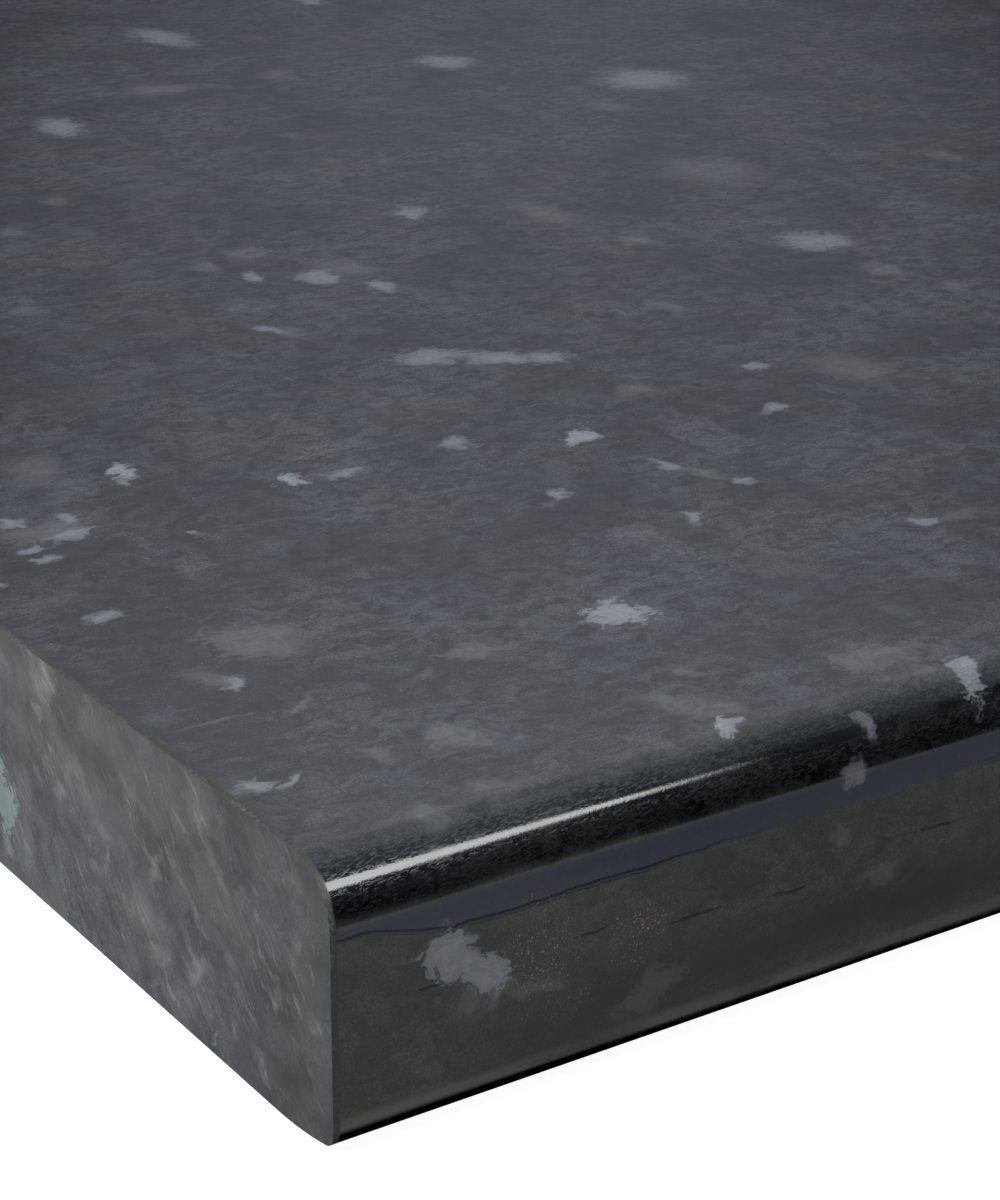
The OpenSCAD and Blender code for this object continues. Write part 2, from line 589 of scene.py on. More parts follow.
TOP_FLAKES = (
    Flake(74.5, 38.5, 9.5, 8.5, 0, Tone.BRIGHT), Flake(4, 17.5, 5, 3.4, -25),
    Flake(8.5, 16, 4.5, 1.3, 35), Flake(14.5, 76, 5, 4.6), Flake(27, 115, 4, 4),
    Flake(25, 107.5, 8, 2.6, 8), Flake(17, 105, 6, 1.9), Flake(22, 110.5, 14, 9, 0, Tone.MUTED),
    Flake(19, 117, 4, 3), Flake(16.5, 100.5, 4, 3), Flake(7, 95, 3, 3), Flake(41, 98.5, 2, 2.4),
    Flake(65, 110.5, 3.2, 4.8, 0, Tone.BRIGHT), Flake(72, 109.5, 6.5, 3.6, -12), Flake(96, 112, 5, 5),
    Flake(114.5, 103.5, 8, 4.4, 32, Tone.BRIGHT), Flake(43.5, 129, 3.6, 7.6, -15, Tone.BRIGHT),
    Flake(42, 123.5, 2, 2.4), Flake(32, 137, 7, 14, -20, Tone.FAINT), Flake(95.5, 82.5, 3, 4.4),
    Flake(92, 80, 4, 2, 0, Tone.FAINT), Flake(106, 63.5, 2.4, 5, -15), Flake(117, 85, 2.5, 6),
    Flake(123, 72, 3, 3), Flake(120, 79, 3, 10, 25, Tone.FAINT), Flake(135, 43.5, 3.4, 3.6),
    Flake(141, 42, 8, 3, 0, Tone.FAINT), Flake(151, 98, 6, 3.2, 35), Flake(117.5, 154, 13, 8, -15),
    Flake(127, 147, 13, 6.5, -42), Flake(135, 142.5, 7, 7.5, 20), Flake(95, 136, 4, 4, 0, Tone.FAINT),
    Flake(101, 184.5, 3.6, 7, 10), Flake(104, 180, 5, 9, 0, Tone.FAINT), Flake(127, 210, 7, 8.5, 10),
    Flake(134, 213, 10, 12, 0, Tone.FAINT), Flake(116.5, 216.5, 3.4, 7.4, -15),
    Flake(134.5, 197.5, 4, 7), Flake(112, 228, 5, 8, 0, Tone.FAINT),
    Flake(124, 232, 7, 9, -20, Tone.FAINT), Flake(168, 241.5, 6, 9.5, -15),
    Flake(192, 228, 9, 22, 0, Tone.FAINT), Flake(195, 199, 8, 6, 30, Tone.FAINT),
    Flake(171.5, 157, 5, 7, 0, Tone.FAINT), Flake(162, 119, 5, 3.6, 20),
    Flake(136, 119, 6, 5, 0, Tone.FAINT), Flake(176, 109, 12, 16, 0, Tone.FAINT),
    Flake(70, 219, 6, 7, 0, Tone.FAINT), Flake(27, 57, 14, 12, -30, Tone.MUTED),
    Flake(17.5, 46, 3, 4, -20), Flake(16, 49, 5, 6, 30, Tone.FAINT),
    Flake(64, -0.5, 3.2, 5.4, -30, Tone.BRIGHT), Flake(66, 4.5, 5, 6, 20, Tone.FAINT),
    Flake(62, 9.5, 4, 7, 25, Tone.FAINT), Flake(18, -1.5, 4, 6, -20, Tone.FAINT),
    Flake(39, 11.5, 2, 2, 0, Tone.FAINT), Flake(70, 16.5, 2, 2.2, 0, Tone.FAINT),
    Flake(93, 7, 11, 8, -20, Tone.MUTED), Flake(101.5, -3, 3.6, 9, -20, Tone.BRIGHT),
    Flake(97, -0.5, 2, 2, 0, Tone.FAINT), Flake(82.5, -6.5, 1.8, 4, -15), Flake(225, 179, 13, 13),
    Flake(223, 155, 6, 8, 0, Tone.FAINT), Flake(226, 138, 6, 5, 20, Tone.FAINT),
    Flake(297, 221, 7, 7, 0, Tone.FAINT), Flake(289, 324, 21, 19, 35),
    Flake(263, 303, 8, 11, -20, Tone.FAINT), Flake(259, 368, 13, 15), Flake(212, 436, 10, 25, -5),
    Flake(214, 377, 7, 14, -10, Tone.FAINT), Flake(142, 353, 9, 19, -15), Flake(272, 459, 7, 9, -10),
    Flake(110, 291, 4, 9, -10, Tone.FAINT), Flake(180, 377, 14, 12, 0, Tone.FAINT),
    Flake(245, 237, 18, 20, 0, Tone.FAINT), Flake(92, 272, 5, 7, -10, Tone.FAINT),
    Flake(50, 38, 9, 5, -20, Tone.MUTED), Flake(40, 35.5, 5, 1.3, 35, Tone.FAINT),
    Flake(10, 36.5, 9, 1.1, -5, Tone.FAINT), Flake(22, 35.5, 9, 1.0, 32, Tone.FAINT),
    Flake(22, 16.5, 4, 3.4, 20, Tone.FAINT), Flake(33, 16, 8, 5, -40, Tone.MUTED),
    Flake(29, 2, 8, 3, -15, Tone.FAINT),
)
FRONT_FLAKES = (
    Flake(16.8, -19.8, 8, 5.6, -30, Tone.BRIGHT), Flake(20.8, -23.2, 8.5, 5.5, -45, Tone.BRIGHT),
    Flake(23.5, -23.5, 4, 3.4, 0, Tone.BRIGHT), Flake(18.5, -26.5, 4, 2.6, 0, Tone.FAINT),
    Flake(23, -27, 7, 3, 30, Tone.FAINT), Flake(29, -28.5, 8, 2.4, 0, Tone.FAINT),
    Flake(78.6, -12.2, 2.4, 3.4, 10), Flake(77, -20.4, 4.4, 2.6, -10, Tone.FAINT),
    Flake(84.5, -28.0, 5, 1.8, 0, Tone.FAINT), Flake(46, -34, 10, 4, 15, Tone.FAINT),
    Flake(29.5, -24.5, 10, 13, 0, Tone.WARM), Flake(45, -25.5, 9, 8, 0, Tone.WARM),
    Flake(34, -31, 8, 6, 0, Tone.WARM), Flake(14, -23.3, 3.5, 0.3, 4, Tone.SCRATCH),
    Flake(37.5, -23.0, 5, 0.22, 0, Tone.SCRATCH), Flake(53, -25.4, 8, 0.3, -1, Tone.SCRATCH),
    Flake(68.5, -26.3, 8.5, 0.34, 1, Tone.SCRATCH), Flake(94, -23.7, 9, 0.3, 1, Tone.SCRATCH),
)
STRIP_FLAKES = (
    Flake(32, 33.5, 6, 5.5, 0, Tone.FAINT), Flake(27, 27, 9.5, 2.6, 52, Tone.FAINT),
    Flake(44.5, 20, 3.2, 4.4, 15), Flake(47, 21.5, 3, 1.5, 20, Tone.FAINT), Flake(74.5, 35, 5, 7, 20),
    Flake(66.5, 24.5, 14, 4.6, 36, Tone.FAINT), Flake(71.8, 20.5, 3, 2.8),
    Flake(58.5, 19.3, 6, 1.8, 5, Tone.FAINT), Flake(58, 15.5, 6, 1.3, 115, Tone.FAINT),
    Flake(61, 12.8, 4, 1.4, -15, Tone.FAINT), Flake(33.4, 10.4, 6, 3.6, -25),
    Flake(35, 13.5, 6, 1.9, 42, Tone.FAINT), Flake(48, 12.5, 10, 4.4, 10, Tone.FAINT),
    Flake(44, 7, 8, 4, -15, Tone.FAINT), Flake(41, 2.6, 2.4, 1.4, -10),
    Flake(39, 2.2, 1.5, 1.4), Flake(29.5, 2.8, 2.6, 1.0, -42), Flake(36.5, 21, 3, 1.5, 42, Tone.FAINT),
    Flake(33, 18, 6, 1.0, 48, Tone.FAINT), Flake(22.5, 13, 8, 2, 48, Tone.FAINT),
    Flake(24, 7, 1.5, 3, 0, Tone.FAINT), Flake(3, 16.5, 2.6, 3, 30, Tone.FAINT),
    Flake(12, 16, 4, 2.2, 48, Tone.FAINT), Flake(13.5, 18.5, 2, 1.3, 0, Tone.FAINT),
    Flake(8, 33.5, 2.4, 2.4, 0, Tone.FAINT), Flake(18.2, 29, 2, 1.5, 0, Tone.FAINT),
    Flake(5, 10, 3, 1.4, 40, Tone.FAINT), Flake(7.6, 25.8, 2.3, 2.2, 0, Tone.FAINT),
    Flake(90.6, 11.8, 7, 11, -12, Tone.BRIGHT), Flake(91, 4.6, 4, 3), Flake(91, 15.9, 3, 1.7, 20),
    Flake(83, 6.8, 2.4, 3.6, -20, Tone.FAINT), Flake(77.5, 29.4, 2.2, 1.8),
    Flake(87, 33.7, 3, 1.2, 15, Tone.FAINT), Flake(36, 29.4, 5, 0.9, 0, Tone.FAINT),
    Flake(68, 4.4, 1.8, 1.2, 0, Tone.FAINT), Flake(17, 4, 4, 2, 45, Tone.FAINT),
    Flake(46, 3.4, 3, 1, -20, Tone.FAINT), Flake(50, 29, 10, 3, 25, Tone.FAINT),
    Flake(21.5, 26, 2, 4, 20, Tone.FAINT),
)


@dataclass(frozen=True)
class DecorFinish(Finish):
    """The sheet's printed face under melamine: nearly black ground, satin, finely grained."""

    effects: Effects
    ground: Colour = (0.0085, 0.009, 0.010, 1.0)
    cool: Colour = (0.074, 0.083, 0.095, 1.0)
    warm: Colour = (0.085, 0.080, 0.072, 1.0)
    bright: Colour = (0.33, 0.355, 0.40, 1.0)
    faded: Colour = (0.30, 0.30, 0.30, 1.0)
    rust: Colour = (0.46, 0.34, 0.22, 1.0)
    browned: Colour = (0.075, 0.062, 0.046, 1.0)
    shaded: Colour = (0.004, 0.004, 0.003, 1.0)
    arris_darkening: Colour = (0.016, 0.013, 0.009, 1.0)
    scratch: Colour = (0.002, 0.002, 0.002, 1.0)
    # Painted shadow under the toe.
    painted_toe_shadow: Colour = (0.001, 0.001, 0.001, 1.0)
    # Painted reflection: colour of the bluish band under the roll.
    painted_reflection_band: Colour = (0.003, 0.017, 0.058, 1.0)
    # Painted shade: colour of the dark line along the crease.
    crease_and_painted_shade: Colour = (0.0, 0.001, 0.010, 1.0)
    # Painted reflection of the floor, low on the front above the toe.
    painted_floor_reflection: Colour = (0.122, 0.118, 0.108, 1.0)
    roughness: float = 0.085
    grain_height: float = 0.0055
    crazed_height: float = 0.0062
    groove_depth: float = 0.04
    crazing_angle: float = math.radians(-7.0)
    chosen_length: float = 450.0
    band_top: float = -12.2
    band_foot: float = -16.3

    def build(self) -> bpy.types.Material:
        """Build the material. It reads the sheet's own map, laid out in metres."""
        material, bench = self.open("granite_decor_laminate")
        place = bench.scaled(bench.node("UVMap", uv_map=DecorSheet.MAP).outputs[0], 1.0 / MM)
        along, across, _ = bench.parts(place)
        quiet = bench.step(along, self.chosen_length, self.chosen_length + 60.0, 0.85, 0.0)
        decor = bench.use(self.effects.granite, Place=place, Ground=self.ground, Cool=self.cool,
                          Warm=self.warm, Bright=self.bright, Stretch=2.8, Spread=math.pi,
                          Quiet=quiet)
        chosen = bench.use(chosen_flakes_group("corner_flakes", TOP_FLAKES + FRONT_FLAKES),
                           Place=place, Fray=decor["Fray"])
        # Painted shade: the print is darker down the front than on the top, and darker still on the
        # roll.
        roll_zone_and_painted_shade = bench.number("SUBTRACT", bench.step(across, -12.0, -2.0, 0.75, 1.0),
                            bench.product(bench.window(across, -11.2, -3.5, 1.2), 0.5))
        colour, crease_and_painted_shade = self.painted_front_reflections(bench, bench.scaled(decor["Color"], roll_zone_and_painted_shade), along,
                                          across, decor["Mottle"])
        crazed = self.crazing(bench, place, across)
        colour = bench.coated(colour, *self.rusted(bench, place, chosen["Warm"]),
                              (self.low_front(bench, along, across), self.shaded),
                              *self.flaked(bench, chosen, decor["Mottle"]),
                              (self.beside_arris(bench, along, across), self.arris_darkening),
                              (chosen["Scratch"], self.scratch),
                              (self.crazing_and_painted_glints(bench, crazed, along, across), self.cool),
                              (self.underfoot(bench, along, across), self.painted_toe_shadow))
        smear = bench.cloud(place, 28.0, 3.0, 0.6)
        grain = bench.use(self.effects.grain, Place=place)["Height"]
        height = bench.ramp(crazed, self.crazed_height, bench.product(grain, self.grain_height))
        cut = bench.number("MAXIMUM", bench.product(crease_and_painted_shade, 0.7),
                           bench.product(chosen["Scratch"], 0.4))
        height = bench.ramp(cut, -self.groove_depth, height)
        gloss = self.uneven(bench, smear, self.roughness, 0.02, 0.04)
        return self.close(material, bench, colour, gloss, height, MM)

    def rusted(self, bench: NodeBench, place: Input, warm: Input) -> tuple[Coat, ...]:
        """Give the coats of a brown patch: a tint, and rust-brown specks in drifts."""
        specks = Scatter(cell=0.40, presence=0.62, smallest=0.05, largest=0.17, salt=83.0)
        drifts = bench.step(bench.cloud(place, 2.2, 3.0, 0.7), 0.34, 0.56, 0.1, 1.0)
        dust = bench.product(specks.lay(bench, self.effects.scatter, place),
                             bench.product(warm, drifts))
        return (bench.product(warm, 0.30), self.browned), (dust, self.rust)

    def flaked(self, bench: NodeBench, chosen: bpy.types.NodeOutputs,
               mottle: Input) -> tuple[Coat, ...]:
        """Give the coats of the chosen flakes: the faint ones, then the pale ones."""
        lively = bench.ramp(mottle, 0.3, 0.72)
        faint = bench.number("MAXIMUM", bench.product(chosen["Faint"], 0.27),
                             bench.product(chosen["Muted"], 0.34))
        pale = bench.number("MAXIMUM", chosen["Bright"], bench.product(chosen["Clear"], 0.68))
        return ((bench.product(faint, lively), self.faded),
                (bench.product(pale, lively), self.bright))

    def low_front(self, bench: NodeBench, along: Input, across: Input) -> Socket:
        """Find the darker lower part of the front, away from the corner."""
        return bench.product(bench.window(across, -36.8, -29.0, 4.0),
                             bench.step(along, 12.0, 42.0, 0.0, 0.8))

    def beside_arris(self, bench: NodeBench, along: Input, across: Input) -> Socket:
        """Find the darker strip that runs up the top beside the left arris."""
        return bench.product(bench.step(along, 0.6, 3.6, 0.55, 0.0),
                             bench.step(across, -1.0, 6.0))

    def underfoot(self, bench: NodeBench, along: Input, across: Input) -> Socket:
        """Find the painted shadow under the toe: a black line, which starts a little lower at the
        corner.
        """
        lowered = bench.number("SUBTRACT", across, bench.step(along, 15.0, 60.0, 0.9, 0.0))
        return bench.step(lowered, -40.1, -39.6, 0.96, 0.0)

    def crazing_and_painted_glints(self, bench: NodeBench, crazed: Input, along: Input, across: Input) -> Socket:
        """Find how far the crazing pales the print, with painted glints: most of all high on the roll
        beside the highlight, at the left.
        """
        # Painted glints: the paling is strongest just above the highlight and at the left, where its
        # light spills.
        high = bench.product(bench.window(across, -6.0, -3.0, 0.8),
                             bench.step(along, 10.0, 75.0, 0.9, 0.15))
        return bench.number("MULTIPLY", crazed, bench.number("ADD", high, 0.5), clamp=True)

    def crazing(self, bench: NodeBench, place: Input, across: Input) -> Socket:
        """Find the roll's crazing: bending has broken the face into short slanting streaks.

        Args:
            bench: The material's bench.
            place: The place on the sheet, in millimetres.
            across: Distance up the sheet from the start of the roll, in millimetres.

        Returns:
            The crazing, from 0 to 1.
        """
        drawn = bench.stretched(bench.turned(place, self.crazing_angle), (0.30, 1.25, 1.0))
        streaks = bench.step(bench.cloud(drawn, 0.36, 3.0, 0.65), 0.45, 0.70)
        roll_zone_and_painted_shade = bench.product(bench.step(across, -12.6, -8.5),
                             bench.step(across, -4.0, 4.0, 1.0, 0.0))
        polished = bench.ramp(bench.window(across, -7.6, -5.9, 0.4), -0.9, 1.0)
        return bench.product(streaks, roll_zone_and_painted_shade, polished)

    def painted_front_reflections(self, bench: NodeBench, colour: Input, along: Input, across: Input,
                    mottle: Input) -> tuple[Socket, Socket]:
        """Add painted light to the front: a painted bluish reflection band under the roll, and a
        painted floor reflection low on the front.

        The band's lower edge wanders, and a thin crease runs along parts of it, darkened with painted
        shade.

        Args:
            bench: The material's bench.
            colour: The decor so far.
            along: Distance from the left end, in millimetres.
            across: Distance up the sheet from the start of the roll, in millimetres.
            mottle: The decor's strokes.

        Returns:
            The colour with the painted reflections, and the crease's mask.
        """
        slow = bench.cloud(bench.joined(along, 0.0), 60.0, 1.0)
        quick = bench.cloud(bench.joined(along, 9.0), 4.0, 3.0, 0.6)
        foot = bench.number("ADD", bench.ramp(slow, 1.6, self.band_foot - 0.8),
                            bench.step(along, 3.0, 19.0, 2.7, 0.0))
        foot = bench.ramp(quick, 0.9, bench.number("SUBTRACT", foot, 0.45))
        gap = bench.number("SUBTRACT", across, foot)
        # Painted reflection: a bluish band from the wandering foot up to the band's top.
        painted_reflection_band = bench.product(bench.step(gap, -0.15, 0.35),
                             bench.step(across, self.band_top - 0.3, self.band_top + 0.5, 1.0, 0.0))
        line = bench.step(bench.number("ABSOLUTE", gap), 0.08, 0.52, 1.0, 0.0)
        creased = bench.number("MAXIMUM", bench.step(along, 42.0, 75.0, 1.0, 0.0),
                               bench.step(slow, 0.50, 0.62))
        # The crease is cut in as a groove and also darkened with painted shade.
        crease_and_painted_shade = bench.product(line, creased)
        drawn = bench.joined(along, bench.product(across, 3.0))
        # Painted reflection of the floor: a pale band low on the front, just above the toe, in
        # patches.
        height = bench.product(bench.step(across, -38.4, -36.9, 1.0, 0.0),
                               bench.step(across, -39.7, -39.0))
        patches = bench.step(bench.cloud(drawn, 14.0, 4.0), 0.3, 0.6, 0.35, 1.0)
        return bench.coated(colour, (bench.product(painted_reflection_band, bench.ramp(mottle, -0.22, 1.0)), self.painted_reflection_band),
                            (crease_and_painted_shade, self.crease_and_painted_shade),
                            (bench.product(height, patches), self.painted_floor_reflection)), crease_and_painted_shade


@dataclass(frozen=True)
class StripFinish(Finish):
    """The end strips' face: the same print laid at a slant, dull and a little greyer."""

    effects: Effects
    ground: Colour = (0.010, 0.0125, 0.0165, 1.0)
    cool: Colour = (0.074, 0.083, 0.096, 1.0)
    warm: Colour = (0.076, 0.078, 0.070, 1.0)
    bright: Colour = (0.42, 0.43, 0.415, 1.0)
    # Pale tone of the painted light up the strip.
    wear_and_painted_light: Colour = (0.053, 0.055, 0.049, 1.0)
    blue_flake: Colour = (0.25, 0.32, 0.34, 1.0)
    roughness: float = 0.5
    lean: float = math.radians(48.0)

    def build(self, end: End) -> bpy.types.Material:
        """Build the face of one strip.

        Args:
            end: The end that the strip is on.

        Returns:
            The material. It reads the object's own place: depth across, height up.
        """
        material, bench = self.open(f"{end.name.lower()}_strip_face")
        spot = bench.parts(bench.node("TexCoord").outputs["Object"])
        _, front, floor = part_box("decor_laminate")[0]
        across = bench.product(bench.number("SUBTRACT", spot[1], front), 1.0 / MM)
        up = bench.product(bench.number("SUBTRACT", spot[2], floor), 1.0 / MM)
        place = bench.joined(across, up)
        shifted = bench.moved(place, (700.0 + 900.0 * end.value, 350.0, 0.0))
        decor = bench.use(self.effects.granite, Place=shifted, Ground=self.ground,
                          Cool=self.cool, Warm=self.warm, Bright=self.bright, Lean=self.lean,
                          Stretch=4.2, Spread=0.7,
                          Quiet=bench.step(across, 92.0, 130.0, 1.0, 0.3))
        patchy = bench.step(bench.cloud(shifted, 20.0, 3.0, 0.6), 0.34, 0.64, 0.72, 1.20)
        # Painted shade: the strip's print darkens towards the front edge, in random patches.
        shade = bench.product(bench.step(across, -8.0, 62.0, 0.60, 1.10), patchy)
        # Painted light: the strip turns paler up its height and towards the back.
        painted_upper_light = bench.product(bench.step(up, 6.0, 36.0, 0.0, 0.55),
                                bench.step(across, 0.0, 75.0, 0.45, 1.0))
        drawn = bench.turned(ragged(bench, shifted, 1.2, 0.3), -self.lean)
        threads = bench.cloud(bench.stretched(drawn, (0.22, 1.0, 1.0)), 1.0, 4.0, 0.65)
        bundles = bench.step(bench.cloud(shifted, 11.0, 3.0, 0.6), 0.44, 0.64, 0.0, 0.38)
        streaks = bench.product(bench.step(threads, 0.50, 0.78), bundles)
        colour = bench.coated(bench.scaled(decor["Color"], shade), (painted_upper_light, self.wear_and_painted_light),
                              (streaks, self.bright))
        if end is End.LEFT:
            chosen = bench.use(chosen_flakes_group("strip_flakes", STRIP_FLAKES), Place=place,
                               Fray=decor["Fray"])
            pale = bench.number("MAXIMUM", bench.product(chosen["Clear"], 0.42),
                                bench.product(chosen["Faint"], 0.25))
            pale = bench.product(pale, bench.ramp(decor["Mottle"], 0.6, 0.4))
            colour = bench.coated(colour, (pale, self.bright),
                                  (bench.product(chosen["Bright"], 0.85), self.blue_flake))
        rub = self.uneven(bench, bench.cloud(place, 9.0, 3.0, 0.65), self.roughness, 0.05, 0.08)
        grain = bench.use(self.effects.grain, Place=shifted)["Height"]
        return self.close(material, bench, colour, rub, grain, 0.016 * MM)


@dataclass(frozen=True)
class ArrisFinish(Finish):
    """The strips' filed edge: the pale and dark papers of the laminate, cut through."""

    pale: Colour = (0.17, 0.165, 0.15, 1.0)
    dark: Colour = (0.045, 0.045, 0.043, 1.0)

    def build(self) -> bpy.types.Material:
        """Build the speckled edge."""
        material, bench = self.open("filed_laminate_edge")
        place = bench.own_place()
        fleck = bench.lump(place, 0.5, 2.0, 0.7)
        wear_and_painted_light = bench.step(bench.lump(place, 7.0, 4.0, 0.75), 0.42, 0.66, 0.10, 1.0)
        share = bench.product(wear_and_painted_light, bench.step(fleck, 0.42, 0.64))
        return self.close(material, bench, bench.blend(share, self.dark, self.pale),
                          self.uneven(bench, fleck, 0.65, 0.10, 0.10), fleck, 0.020 * MM)


@dataclass(frozen=True)
class KraftFinish(Finish):
    """Resin-filled kraft paper: the back of the laminate, and the backing sheet."""

    name: str
    tone: Colour = (0.105, 0.060, 0.034, 1.0)
    dark: Colour = (0.060, 0.034, 0.020, 1.0)
    scuffed: Colour = (0.20, 0.135, 0.085, 1.0)
    roughness: float = 0.58

    def build(self) -> bpy.types.Material:
        """Build sanded brown paper with fibres, cloudy resin and a few scuffs."""
        material, bench = self.open(self.name)
        place = bench.own_place()
        drawn = bench.stretched(place, (0.12, 1.0, 1.0))
        fibres = bench.lump(drawn, 1.6, 5.0, 0.7)
        clouds = bench.lump(place, 40.0, 5.0, 0.6)
        sanding = bench.lump(bench.stretched(place, (0.01, 1.0, 1.0)), 0.8, 2.0)
        share = bench.ramp(fibres, 0.5, bench.product(clouds, 0.6))
        scuffs = bench.step(bench.lump(drawn, 5.0, 6.0, 0.8), 0.62, 0.72)
        colour = bench.coated(self.dark, (bench.step(share, 0.35, 0.75), self.tone),
                              (bench.product(scuffs, 0.45), self.scuffed))
        return self.close(material, bench, colour,
                          self.uneven(bench, clouds, self.roughness, 0.08, 0.10),
                          bench.ramp(sanding, 0.6, fibres), 0.025 * MM)


@dataclass(frozen=True)
class ChipboardFinish(Finish):
    """Raw or lacquered chipboard, with fine outer layers and a coarse middle.

    On the lacquered edge the cut laminate shows above the board, and the backing below it.
    """

    effects: Effects
    name: str
    thickness: float
    fine_layer: float = 8.5
    lacquered: bool = False
    skin: float = 0.7
    printed: float = 0.13
    backing: float = 0.4
    paper: Colour = (0.055, 0.030, 0.019, 1.0)
    ink: Colour = (0.012, 0.012, 0.013, 1.0)

    def build(self) -> bpy.types.Material:
        """Build the board as seen on its long faces, in the object's own place."""
        material, bench = self.open(self.name)
        along, depth, up = bench.parts(bench.own_place())
        top = self.thickness / MM
        jitter = bench.cloud(bench.joined(along, depth), 12.0)
        level = bench.ramp(jitter, 1.6, bench.number("SUBTRACT", up, 0.8))
        middle = bench.window(level, self.fine_layer, top - self.fine_layer, 1.2)
        place = bench.joined(bench.ramp(depth, 1.7, along), up)
        board = bench.use(self.effects.chipboard, Place=place, Middle=middle)
        colour = board["Color"]
        if self.lacquered:
            shake = bench.step(bench.cloud(bench.joined(along, 0.0), 9.0, 4.0), 0.2, 0.8, -0.06, 0.06)
            height = bench.number("ADD", up, shake)
            skin = bench.step(height, top - self.skin - 0.05, top - self.skin + 0.05)
            printed = bench.step(height, top - self.printed - 0.03, top - self.printed + 0.03)
            backing = bench.step(height, self.backing - 0.05, self.backing + 0.05, 1.0, 0.0)
            colour = bench.coated(bench.scaled(colour, 0.86),
                                  (bench.number("MAXIMUM", skin, backing), self.paper),
                                  (printed, self.ink))
        gloss = (0.30, 0.48) if self.lacquered else (0.75, 0.9)
        soak = bench.step(bench.cloud(place, 3.0, 4.0), 0.3, 0.7, *gloss)
        return self.close(material, bench, colour, soak, board["Height"],
                          (0.09 if self.lacquered else 0.16) * MM)


@dataclass(frozen=True)
class SmearedFinish(Finish):
    """Glue, hot melt or sealant: one colour that varies with thickness, with small bubbles."""

    name: str
    thick: Colour
    thin: Colour
    roughness: float = 0.35

    def build(self) -> bpy.types.Material:
        """Build the smear: cloudy colour, uneven gloss and fine ripples."""
        material, bench = self.open(self.name)
        place = bench.own_place()
        spread = bench.lump(place, 6.0, 5.0, 0.6)
        ripple = bench.lump(place, 1.4, 3.0, 0.6)
        bubbles = bench.step(bench.lump(place, 0.6, 1.0, 0.5), 0.66, 0.72)
        colour = bench.coated(self.thin, (bench.step(spread, 0.3, 0.7), self.thick),
                              (bench.product(bubbles, 0.5), self.thin))
        return self.close(material, bench, colour,
                          self.uneven(bench, spread, self.roughness, 0.08, 0.15),
                          bench.number("SUBTRACT", ripple, bubbles), 0.03 * MM)


GLUE = SmearedFinish("sheet_glue", thick=(0.72, 0.64, 0.42, 1.0), thin=(0.50, 0.41, 0.25, 1.0))
SEALANT = SmearedFinish("joint_sealant", thick=(0.022, 0.021, 0.020, 1.0),
                        thin=(0.05, 0.046, 0.042, 1.0))
HOT_MELT = SmearedFinish("hot_melt", thick=(0.060, 0.057, 0.052, 1.0),
                         thin=(0.032, 0.030, 0.028, 1.0))
LAMINATE_BACK = KraftFinish("laminate_back")
BACKING_PAPER = KraftFinish("backing_paper", tone=(0.16, 0.10, 0.058, 1.0),
                            dark=(0.095, 0.058, 0.034, 1.0), roughness=0.66)


# --------------------------------------------------------------------------- shape


def arc(centre: Points, radius: float, start: float, stop: float, steps: int) -> Points:
    """Points on an arc: the centre plus the radius times cosine and sine of an even angle.

    Args:
        centre: The centre, (y, z).
        radius: The radius.
        start: The first angle, in degrees.
        stop: The last angle, in degrees.
        steps: The number of steps.

    Returns:
        The points, both ends among them.
    """
    turn = np.radians(np.linspace(start, stop, steps + 1))
    return centre + radius * np.column_stack((np.cos(turn), np.sin(turn)))


@dataclass(frozen=True)
class SlabSection:
    """The slab's section: flat top, roll, upright front, toe and a sweep up from the flat foot."""

    front: float
    rear: float
    thickness: float
    roll_radius: float = 8.0 * MM
    toe_radius: float = 2.4 * MM
    sweep_radius: float = 60.0 * MM
    sweep_reach: float = 13.5 * MM
    roll_steps: int = 30
    front_steps: int = 28
    toe_steps: int = 14
    sweep_steps: int = 10

    @property
    def roll_centre(self) -> Points:
        """Centre of the roll."""
        return np.array((self.front + self.roll_radius, self.thickness - self.roll_radius))

    @property
    def sweep_centre(self) -> Points:
        """Centre of the sweep, above the flat foot."""
        return np.array((self.front + self.sweep_reach, self.sweep_radius))

    @property
    def toe_centre(self) -> Points:
        """Centre of the toe, as far from the sweep's centre as the two radii differ."""
        run = self.sweep_reach - self.toe_radius
        rise = math.sqrt((self.sweep_radius - self.toe_radius) ** 2 - run ** 2)
        return np.array((self.front + self.toe_radius, self.sweep_radius - rise))

    @property
    def meeting_angle(self) -> float:
        """Angle in degrees at which toe and sweep touch, on the line through their centres."""
        run, rise = self.sweep_centre - self.toe_centre
        return 180.0 + math.degrees(math.atan2(rise, run))

    def nose(self, inset: float) -> Points:
        """Follow the front from the top of the roll to the end of the sweep.

        Args:
            inset: How far inside the outer face to stay.

        Returns:
            (y, z) points: an arc, even steps down the front, an arc and an arc.
        """
        roll = arc(self.roll_centre, self.roll_radius - inset, 90.0, 180.0, self.roll_steps)
        toe = arc(self.toe_centre, self.toe_radius - inset, 180.0, self.meeting_angle,
                  self.toe_steps)
        sweep = arc(self.sweep_centre, self.sweep_radius - inset, self.meeting_angle, 270.0,
                    self.sweep_steps)
        upright = np.linspace(roll[-1], toe[0], self.front_steps + 1)[1:-1]
        return np.concatenate((roll, upright, toe, sweep[1:]))

    def outline(self, inset: float, rear: float) -> Points:
        """Go round the whole section from the foot of the rear edge.

        Args:
            inset: How far inside the outer faces to stay, except at the rear.
            rear: Where the rear edge is.

        Returns:
            (y, z) points of a closed outline.
        """
        nose = self.nose(inset)
        guards = np.array((0.3, 1.5, 6.0, 40.0)) * MM
        top = np.column_stack((nose[0, 0] + guards[::-1], np.full(guards.size, nose[0, 1])))
        foot = np.column_stack((nose[-1, 0] + guards, np.full(guards.size, nose[-1, 1])))
        corners = np.array(((rear, inset), (rear, self.thickness - inset)))
        return np.concatenate((corners, top, nose, foot))


